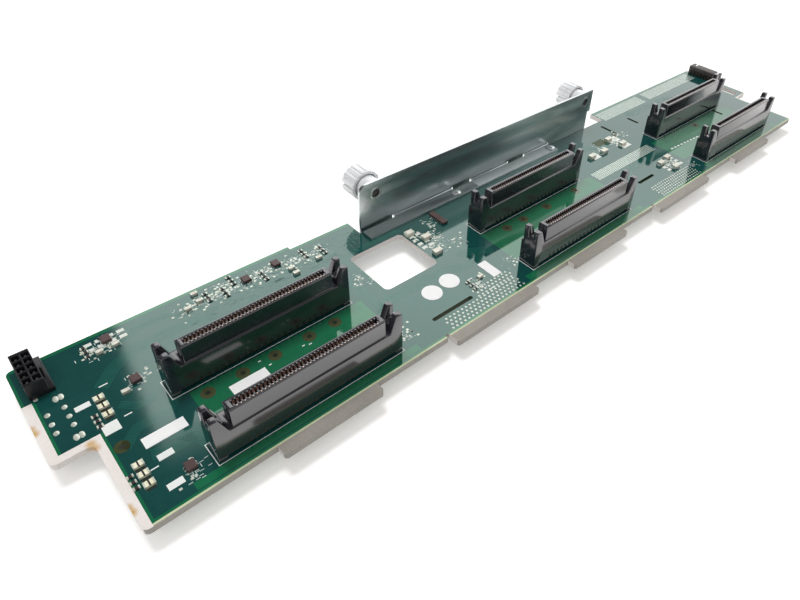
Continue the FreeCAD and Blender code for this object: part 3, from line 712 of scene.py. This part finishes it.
def makeClusterMarks():
    # short printed strokes, small pads and vias round each group of small parts
    marks = bmesh.new()
    pads = bmesh.new()
    long, thin = clusters["stroke"]
    acrossTo, alongTo, padTo = clusters["shares"]
    random.seed(23)
    for centreX, centreY, count in clusters["marks"]:
        for index in range(count):
            x = random.gauss(centreX, clusters["spread"][0])
            y = min(random.gauss(centreY, clusters["spread"][1]), clusters["backMost"])
            kind = random.random()
            if isIn(legend["boxes"], x, y, *clusters["keepOff"]):
                continue
            if kind < acrossTo:
                addPatch(marks, x, x + long, y, y + thin, legend["z"])
            elif kind < alongTo:
                addPatch(marks, x, x + thin, y, y + long, legend["z"])
            elif kind < padTo:
                addPatch(pads, x, x + clusters["pad"][0], y, y + clusters["pad"][1], clusters["padZ"])
            else:
                addVia(pads, x, y, *clusters["via"])
    finishPiece("clusterMarks", marks, [silkThin])
    finishPiece("clusterPads", pads, [solder, holeDark])


makeClusterMarks()

landPads = {
    "size": (2.5, 1.6), "pitch": (3.6, 3), "z": 0.05, "bareZ": 0.025,
    "fields": [(78.8, 7.6, 4, 3), (-60.4, 38.6, 2, 4), (-184, 67.6, 4, 2)],
    "large": [(78.6, 86, 43.6, 48.4), (79.6, 86.2, 36.4, 40), (57, 62.4, 38.6, 43.6)],
    "bare": [(69.4, 77.4, 45.6, 51), (86.4, 88.2, 47, 50.6)]}


def makeLandPads():
    # tinned lands of parts that are not fitted, and the bare patches beside them
    bm = bmesh.new()
    for left, front, across, along in landPads["fields"]:
        for column in range(across):
            for row in range(along):
                x = left + column * landPads["pitch"][0]
                y = front + row * landPads["pitch"][1]
                addPatch(bm, x, x + landPads["size"][0], y, y + landPads["size"][1], landPads["z"])
    for box in landPads["large"]:
        addPatch(bm, *box, landPads["z"])
    for box in landPads["bare"]:
        addPatch(bm, *box, landPads["bareZ"], 1)
    finishPiece("unfittedLands", bm, [landTin, shadedSlotWallAndBarePatch])


makeLandPads()
print("printing ready")

drive = {  # y from the row's front face; slot and lip heights from the tongue's top
    "edge": 0.3, "pitch": 1.27, "count": 40, "line": 3.7, "slotWidth": 2.4, "top": 17.9,
    "ribWidth": 0.42, "ribDepth": 0.5, "ribSink": 0.05, "ribZ": (-2.6, -0.1),
    "lipWidth": 0.42, "lipY": (1.85, 2.11), "lipZ": (-0.2, 0.03),
    "tailRows": (2.6, 7.6), "tailWidth": 0.5, "tailHalf": 0.2, "tailTop": 1.5, "land": 0.44, "landZ": 0.06,
    "windowPitch": 2.54, "windowWidth": 1.1, "windowY": (0.47, 0.6), "windowZ": (1.4, 3.0)}


def addSpan(bm, x, width, yRange, zRange, materialIndex=0):
    # a block centred on x
    low = at(x - width / 2, yRange[0], zRange[0])
    addBlock(bm, low, at(x + width / 2, yRange[1], zRange[1]), materialIndex)


def makeDriveConnector(rowName, columnName):
    row, column, top = driveRows[rowName], driveColumns[columnName], drive["top"]
    tag = rowName.capitalize() + columnName.capitalize()
    nodeTag = rowName + "_" + columnName
    copyOfNode("driveHousing" + tag, "drive_housing_" + nodeTag, drive["edge"], [blackPlastic], segments=3)
    paintNode("drive_contacts_" + nodeTag, goldContact)
    ribs = bmesh.new()
    tails = bmesh.new()
    front = row + drive["line"] - drive["slotWidth"] / 2
    back = row + drive["line"] + drive["slotWidth"] / 2
    ribZ = [top + z for z in drive["ribZ"]]
    for offset in spaced(drive["count"] + 1, drive["pitch"]):
        for yRange in ((front - drive["ribSink"], front + drive["ribDepth"]),
                       (back - drive["ribDepth"], back + drive["ribSink"])):
            addSpan(ribs, column + offset, drive["ribWidth"], yRange, ribZ)
    lipY = [row + y for y in drive["lipY"]]
    lipZ = [top + z for z in drive["lipZ"]]
    for offset in spaced(drive["count"], drive["pitch"]):
        x = column + offset
        addSpan(tails, x, drive["lipWidth"], lipY, lipZ, 1)
        for tailRow in drive["tailRows"]:
            y = row + tailRow
            tailY = (y - drive["tailHalf"], y + drive["tailHalf"])
            addSpan(tails, x, drive["tailWidth"], tailY, (0.0, drive["tailTop"]))
            addDisc(tails, at(x, y, drive["landZ"]), drive["land"], 8)
    windowY = [row + y for y in drive["windowY"]]
    windows = int(drive["count"] * drive["pitch"] / drive["windowPitch"])
    for offset in spaced(windows, drive["windowPitch"]):
        addSpan(ribs, column + offset, drive["windowWidth"], windowY, drive["windowZ"], 1)
    finishPiece("slotRibs" + tag, ribs, [blackPlastic, holeDark])
    finishPiece("solderTails" + tag, tails, [tinPlate, goldContact])


for rowName in driveRows:
    for columnName in driveColumns:
        makeDriveConnector(rowName, columnName)
paintNode("ground_strips", tinPlate)
print("drive connectors ready")

bracket = {"edge": 0.18, "flangeTurn": 0.12, "flangeTo": 8.0}


def makeBracket():
    # bright upright face; the flange and folds, which face upwards near the board, in a darker copy of the
    # same steel painted as shade
    steels = [platedSteel, shadedFlangeSteel]
    piece = copyOfNode("foldedBracket", "screw_bracket", bracket["edge"], steels, segments=3)
    for face in piece.data.polygons:
        if face.normal.z > bracket["flangeTurn"] and face.center.z < at(0, 0, bracket["flangeTo"]).z:
            face.material_index = 1


makeBracket()

rivets = {
    "radius": 2.5, "height": 1.15, "sheet": 1.2, "skirt": 0.2, "y": 60.6, "x": [-22.0, 46.0],
    "backRadii": (2.4, 2.5), "backDepth": 0.5, "backGap": 0.28}


def makeRivets():
    # a domed head on the flange and a flat one on the hidden side
    bm = bmesh.new()
    radius, first, second = (size * mm for size in (rivets["radius"], *rivets["backRadii"]))
    skirt = at(0, 0, rivets["sheet"] - rivets["skirt"]).z
    for x in rivets["x"]:
        head = placed(at(x, rivets["y"], rivets["sheet"]), radius, radius, rivets["height"] * mm)
        made = bmesh.ops.create_uvsphere(bm, u_segments=28, v_segments=14, radius=1.0, matrix=head)
        bmesh.ops.delete(bm, geom=[v for v in made["verts"] if v.co.z < skirt], context="VERTS")
        back = at(x, rivets["y"], -board["thickness"] - rivets["backGap"])
        bmesh.ops.create_cone(bm, cap_ends=True, segments=24, radius1=first, radius2=second,
                              depth=rivets["backDepth"] * mm, matrix=Matrix.Translation(back))
    finishPiece("rivetHeads", bm, [platedSteel], smoothAngle=50, standsFor="bracket_rivets")


makeRivets()

screw = {
    "x": {"left": -65.3, "right": 76.1}, "face": 64.3, "rise": 17.0, "edge": 0.16, "ferruleEdge": 0.15,
    "shankTo": 70.0,
    "rim": [(2.15, 0.0), (2.15, 0.154), (2.525, 0.22), (2.9, 0.11), (2.9, 0.0)]}  # radius, rise


def makeSwagedRim(side):
    # the ferrule's end turned over on the front of the sheet
    middle = at(screw["x"][side], screw["face"], screw["rise"])
    bm = bmesh.new()
    profile = [bm.verts.new(middle + Vector((radius, -rise, 0.0)) * mm) for radius, rise in screw["rim"]]
    edges = [bm.edges.new(pair) for pair in zip(profile, profile[1:])]
    bmesh.ops.spin(bm, geom=profile + edges, cent=middle, axis=(0, 1, 0),
                   angle=math.tau, steps=40, use_merge=True)
    bmesh.ops.recalc_face_normals(bm, faces=bm.faces[:])
    bm.normal_update()
    if sum(face.normal.y for face in bm.faces) > 0:
        bmesh.ops.reverse_faces(bm, faces=bm.faces[:])
    finishPiece(side + "SwagedRim", bm, [platedSteel], smoothAngle=60)


def makeScrew(side):
    # a pale knob on a shank painted dark as shade
    finishes = [knobPlate, pinShade]
    piece = copyOfNode(side + "KnurledKnob", side + "_thumbscrew", screw["edge"], finishes, side + "_screw")
    shankEnd = at(0, screw["shankTo"]).y
    for face in piece.data.polygons:
        if face.center.y < shankEnd:
            face.material_index = 1


for side in screw["x"]:
    makeSwagedRim(side)
    makeScrew(side)
    copyOfNode(side + "FerruleTurned", side + "_ferrule", screw["ferruleEdge"], [knobPlate])
    paintNode(side + "_retaining_ring", platedSteel)

endConnectors = {
    "powerHeaderBody": ("power_header", 0.16, headerPlastic),
    "signalSocketBody": ("signal_socket", 0.22, socketPlastic),
    "signalHostBody": ("signal_host_housing", 0.2, blackPlastic),
    "powerHostBody": ("power_host_housing", 0.2, blackPlastic)}
for name, (nodeName, edge, plastic) in endConnectors.items():
    copyOfNode(name, nodeName, edge, [plastic])
# the header and socket pins take the near-black metal, painted shade in their cells
for nodeName, metal in (("power_pins", pinShade), ("signal_pins", pinShade),
                        ("signal_host_contacts", goldContact), ("power_host_contacts", goldContact)):
    paintNode(nodeName, metal)
print("bracket, screws and end connectors ready")


def solidBoxes(nodeName):
    # the boxes of the separate solids in a CAD node, from left to right
    bm = nodeMesh(nodeName)
    boxes = []
    left = set(bm.verts)
    while left:
        island = {left.pop()}
        grow = list(island)
        while grow:
            for edge in grow.pop().link_edges:
                for vert in left.intersection(edge.verts):
                    left.discard(vert)
                    island.add(vert)
                    grow.append(vert)
        low = Vector([min(v.co[i] for v in island) for i in range(3)])
        high = Vector([max(v.co[i] for v in island) for i in range(3)])
        boxes.append((low, high))
    bm.free()
    return sorted(boxes, key=lambda box: (round(box[0].x, 6), round(box[0].y, 6)))


underside = {
    "z": -2.445, "holeZ": -2.455, "tailRows": (1.9, 8.1), "tailPad": 0.42, "tailHole": 0.2,
    "lands": 44, "spread": (12, 7.5), "clear": 1.2, "sizes": ((1, 0.6), (0.6, 1), (0.5, 0.5)),
    "landHeight": 0.02, "pitch": 0.75, "width": 0.32, "trackZ": -2.43,
    "bundles": [
        ([(-150, 36), (-150, 48), (-141, 57), (-104, 57), (-98, 51), (-98, 22),
          (-88, 12)], 8),
        ([(-118, 22), (-96, 22), (-86, 12), (-58, 12), (-48, 22), (-30, 22)], 7),
        ([(-36, 52), (-8, 52), (2, 46), (40, 46), (52, 54), (92, 54)], 8),
        ([(40, 22), (60, 22), (70, 14), (92, 14), (100, 22), (122, 22)], 7),
        ([(104, 56), (136, 56), (146, 48), (176, 48), (190, 58)], 6)]}


def addTailHoles(bm, column, row):
    for offset in spaced(drive["count"], drive["pitch"]):
        for y in underside["tailRows"]:
            addDisc(bm, at(column + offset, row + y, underside["z"]), underside["tailPad"], 8)
            addDisc(bm, at(column + offset, row + y, underside["holeZ"]), underside["tailHole"], 6, 1)


def addChipLands(bm, low, high):
    # small lands round a control chip, none of them under it
    centre = (low + high) / 2
    reach = (high.x - low.x) / mm / 2 + underside["clear"]
    spreadX, spreadY = underside["spread"]
    for index in range(underside["lands"]):
        x = random.uniform(-spreadX, spreadX)
        y = random.uniform(-spreadY, spreadY)
        if abs(x) < reach and abs(y) < reach:
            continue
        width, depth = random.choice(underside["sizes"])
        corner = Vector((centre.x + x * mm, centre.y + y * mm, at(0, 0, underside["z"]).z))
        addBlock(bm, corner, corner + Vector((width, depth, underside["landHeight"])) * mm)


def makeUnderside():
    # the hidden side: filled tail holes, lands round the control chips, buses between the connectors
    lands = bmesh.new()
    for place in drivePlaces:
        addTailHoles(lands, *place)
    random.seed(41)
    for low, high in solidBoxes("control_chips"):
        addChipLands(lands, low, high)
    faceAlong(lands, -1, 5)  # the discs, not the blocks
    finishPiece("undersideLands", lands, [solder, holeDark])
    buses = bmesh.new()
    for path, count in underside["bundles"]:
        addBundle(buses, path, count, underside["pitch"], underside["width"], underside["trackZ"])
    faceAlong(buses, -1)
    finishPiece("undersideTracks", buses, [trackGreen])


makeUnderside()

endCap = {"tuck": 0.7, "bodyBevel": 0.06, "capBevel": 0.08}


def addEndCapped(bm, low, high, capShare, inset):
    # a body between two metal end caps, along its longer side
    long = 0 if high.x - low.x >= high.y - low.y else 1
    cap = (high[long] - low[long]) * capShare
    insets = Vector((inset, inset, inset)) * mm
    insets[long] = cap * endCap["tuck"]
    addBlock(bm, low + insets, high - insets, 0, endCap["bodyBevel"])
    firstHigh, secondLow = high.copy(), low.copy()
    firstHigh[long] = low[long] + cap
    secondLow[long] = high[long] - cap
    addBlock(bm, low, firstHigh, 1, endCap["capBevel"])
    addBlock(bm, secondLow, high, 1, endCap["capBevel"])


def makeEndCappedGroup(name, nodeName, bodyMaterial, capShare, inset):
    bm = bmesh.new()
    for low, high in solidBoxes(nodeName):
        addEndCapped(bm, low, high, capShare, inset)
    finishPiece(name, bm, [bodyMaterial, solder], standsFor=nodeName)


statusLight = {
    "capShare": 0.16, "inset": 0.06, "band": 0.5, "bandInset": 0.05, "bandZ": (-0.3, -0.03),
    "barInset": 0.3, "barY": (-0.75, -0.3), "barHeight": 0.08}


def makeStatusLights():
    # cream light chips, each with a dark band across its lens and a dark bar in front
    look = statusLight
    bm = bmesh.new()
    for low, high in solidBoxes("status_leds"):
        addEndCapped(bm, low, high, look["capShare"], look["inset"])
        middle, half = (low.x + high.x) / 2, look["band"] / 2 * mm
        bandFront, bandBack = low.y + look["bandInset"] * mm, high.y - look["bandInset"] * mm
        bandLow, bandHigh = (high.z + z * mm for z in look["bandZ"])
        bandCorner = Vector((middle - half, bandFront, bandLow))
        addBlock(bm, bandCorner, Vector((middle + half, bandBack, bandHigh)), 2)
        inset, barZ = look["barInset"] * mm, low.z + look["barHeight"] * mm
        barFront, barBack = (low.y + y * mm for y in look["barY"])
        addBlock(bm, Vector((low.x + inset, barFront, low.z)), Vector((high.x - inset, barBack, barZ)), 2)
    finishPiece("statusLightChips", bm, [ledCream, solder, chipBlack], standsFor="status_leds")


chip = {"lift": 0.12, "tuck": 0.7, "bevel": 0.12, "legHalf": 0.15, "foot": 0.15, "knee": 0.08, "bridge": 0.07}


def addLeg(bm, y, xRange, zRange):
    half = chip["legHalf"] * mm
    low = Vector((min(xRange), y - half, min(zRange)))
    addBlock(bm, low, Vector((max(xRange), y + half, max(zRange))), 1)


def makeChipGroup(name, nodeName, bodyMaterial, legLength, legPitch):
    # moulded bodies, each leg a foot, a knee and a bridge to the body
    bm = bmesh.new()
    knee, bridge, foot = (chip[key] * mm for key in ("knee", "bridge", "foot"))  # the first two are halves
    for low, high in solidBoxes(nodeName):
        onTop = high.z > boardHigh.z
        lift = chip["lift"] * mm
        shrink = Vector((legLength * chip["tuck"] * mm, 0.0, 0.0))
        bodyLow = low + shrink + Vector((0.0, 0.0, lift if onTop else 0.0))
        bodyHigh = high - shrink - Vector((0.0, 0.0, 0.0 if onTop else lift))
        addBlock(bm, bodyLow, bodyHigh, 0, chip["bevel"])
        count = max(2, int((high.y - low.y) / (legPitch * mm)) - 1)
        footLow = low.z if onTop else high.z - foot
        middle = (low + high) / 2
        for offset in spaced(count, legPitch):
            y = middle.y + offset * mm
            for inner, outer in ((bodyLow.x, low.x), (bodyHigh.x, high.x)):
                kneeX = (inner + outer) / 2
                addLeg(bm, y, (inner, outer), (footLow, footLow + foot))
                addLeg(bm, y, (kneeX - knee, kneeX + knee), (footLow, middle.z))
                addLeg(bm, y, (inner, kneeX), (middle.z - bridge, middle.z + bridge))
    finishPiece(name, bm, [bodyMaterial, tinPlate], standsFor=nodeName)


makeStatusLights()
makeEndCappedGroup("largeCapacitorBodies", "large_capacitors", capTan, 0.2, 0.05)
makeEndCappedGroup("smallCapacitorBodies", "small_capacitors", capTan, 0.24, 0.04)
makeEndCappedGroup("resistorBodies", "chip_resistors", chipBlack, 0.26, 0.03)
makeChipGroup("topChipBodies", "top_chips", chipBrown, 0.8, 1.0)
makeChipGroup("controlChipBodies", "control_chips", chipBlack, 1.0, 0.8)

labels = {"square": 0.3, "radii": (0.455, 0.45), "sides": 48, "bevel": 0.03, "shadedLabelFrom": 1.0}


def makePaperLabels():
    # round and oblong blank labels on the board, and one on the bracket's flange painted grey as shade
    bm = bmesh.new()
    for low, high in solidBoxes("paper_labels"):
        size = high - low
        if abs(size.x - size.y) < labels["square"] * mm:
            first, second = (size.x * share for share in labels["radii"])
            bmesh.ops.create_cone(bm, cap_ends=True, segments=labels["sides"], radius1=first, radius2=second,
                                  depth=size.z, matrix=Matrix.Translation((low + high) / 2))
        else:
            addBlock(bm, low, high, 0, labels["bevel"])
    for face in bm.faces:
        if face.calc_center_median().z > at(0, 0, labels["shadedLabelFrom"]).z:
            face.material_index = 1
    finishPiece("blankPaperLabels", bm, [paperWhite, shadedLabelGrey], standsFor="paper_labels")


makePaperLabels()
print("small parts ready")

floor = {
    "size": 3.0, "drop": 0.2, "colour": (0.92, 0.92, 0.92), "rough": 0.9, "specular": 0.1,
    "glow": (1.0, 0.95, 0.91), "seen": 0.34, "mirrored": 0.42}


def makeFloor():
    # plain pale paper, lifted to white where it is seen and a little where it is mirrored
    bm = bmesh.new()
    bmesh.ops.create_grid(bm, x_segments=1, y_segments=1, size=floor["size"])
    material, tree, shader = newMaterial("floorPaper", {
        "Base Color": floor["colour"], "Roughness": floor["rough"], "Specular IOR Level": floor["specular"],
        "Emission Color": floor["glow"]})
    paths = addNode(tree, "ShaderNodeLightPath").outputs
    lift = mathNode(tree, "ADD", mathNode(tree, "MULTIPLY", paths["Is Camera Ray"], floor["seen"]),
                    mathNode(tree, "MULTIPLY", paths["Is Glossy Ray"], floor["mirrored"]))
    fill(tree, shader, {"Emission Strength": lift})
    sheet = meshObject("studioFloor", bm, [material])
    sheet.location.z = -floor["drop"] * mm


lamps = {
    "keyLamp": {"place": (-0.1, 0.36, 1.3), "size": (0.5, 0.35), "power": 9.6},
    "fillLamp": {"place": (-0.9, -0.5, 1.3), "size": (0.9, 0.7), "power": 2.0}}


def addLamp(name, look):
    # an area lamp that looks at the origin and isn't mirrored
    light = bpy.data.lights.new(name, "AREA")
    light.shape = "RECTANGLE"
    light.size, light.size_y = look["size"]
    light.energy = look["power"]
    lamp = addObject(name, light)
    lamp.location = look["place"]
    lamp.visible_glossy = False
    lamp.rotation_euler = (-Vector(look["place"])).to_track_quat("-Z", "Y").to_euler()


studio = {
    "diffuse": 0.50, "horizon": 1.45, "band": 2.2, "rise": (0.42, 0.64), "fall": (0.745, 0.80),
    "overhead": 0.08,
    "wall": (0.8988, 0.4384, 0.0), "wallEdge": (0.552, 0.566),
    "room": (-0.2, -0.98, 0.0), "roomEdge": (0.0, 0.5), "roomLevel": 0.5}


def makeWorld():
    # pale all round; reflections see a bright wall on one side, a dim room on the other and a dark ceiling
    world = bpy.data.worlds.new("studioWorld")
    bpy.context.scene.world = world
    world.use_nodes = True
    tree = world.node_tree
    soft = {"interpolation_type": "SMOOTHSTEP"}
    place = addNode(tree, "ShaderNodeTexCoord").outputs["Generated"]
    height = addNode(tree, "ShaderNodeSeparateXYZ", {0: place}).outputs["Z"]
    band = rampNode(tree, height, studio["rise"], studio["horizon"], studio["band"], **soft)
    ceiling = rampNode(tree, height, studio["fall"], 1.0, 0.0, **soft)
    level = vectorNode(tree, "MULTIPLY", place, (1.0, 1.0, 0.0)).outputs[0]
    way = addNode(tree, "ShaderNodeVectorMath", {0: level}, operation="NORMALIZE").outputs[0]
    toWall = vectorNode(tree, "DOT_PRODUCT", way, studio["wall"]).outputs["Value"]
    toRoom = vectorNode(tree, "DOT_PRODUCT", way, studio["room"]).outputs["Value"]
    wall = rampNode(tree, toWall, studio["wallEdge"], 0.0, 1.0, **soft)
    room = rampNode(tree, toRoom, studio["roomEdge"], 0.0, studio["roomLevel"], **soft)
    lit = mathNode(tree, "MULTIPLY", mathNode(tree, "MULTIPLY", band, ceiling), wall)
    mirrored = mathNode(tree, "ADD", mathNode(tree, "ADD", lit, room), studio["overhead"])
    paths = addNode(tree, "ShaderNodeLightPath").outputs
    lighting = mixNumber(tree, paths["Is Glossy Ray"], studio["diffuse"], mirrored)
    strength = mixNumber(tree, paths["Is Camera Ray"], lighting, 1.0)  # white where the camera sees it
    fill(tree, tree.nodes["Background"], {"Color": (1.0, 1.0, 1.0), "Strength": strength})


makeFloor()
makeWorld()
for name, look in lamps.items():
    addLamp(name, look)

view = {
    "place": (-200.1, -121.42, 171.34), "turn": (0.91402782, -0.05474818, -0.75427059), "sensor": 36.0,
    "focal": 648.952, "centre": (464.755, 236.249), "width": 800.0, "height": 600.0}
cameraData = bpy.data.cameras.new("viewCamera")
cameraData.sensor_width = view["sensor"]
cameraData.lens = view["focal"] / view["width"] * view["sensor"]
cameraData.shift_x = (view["width"] / 2 - view["centre"][0]) / view["width"]
cameraData.shift_y = (view["centre"][1] - view["height"] / 2) / view["width"]
cameraData.clip_start = 0.01
camera = addObject("viewCamera", cameraData)
camera.location = at(*view["place"])
camera.rotation_euler = view["turn"]
bpy.context.scene.camera = camera
bpy.context.scene.view_settings.view_transform = "Standard"
print("stage ready")
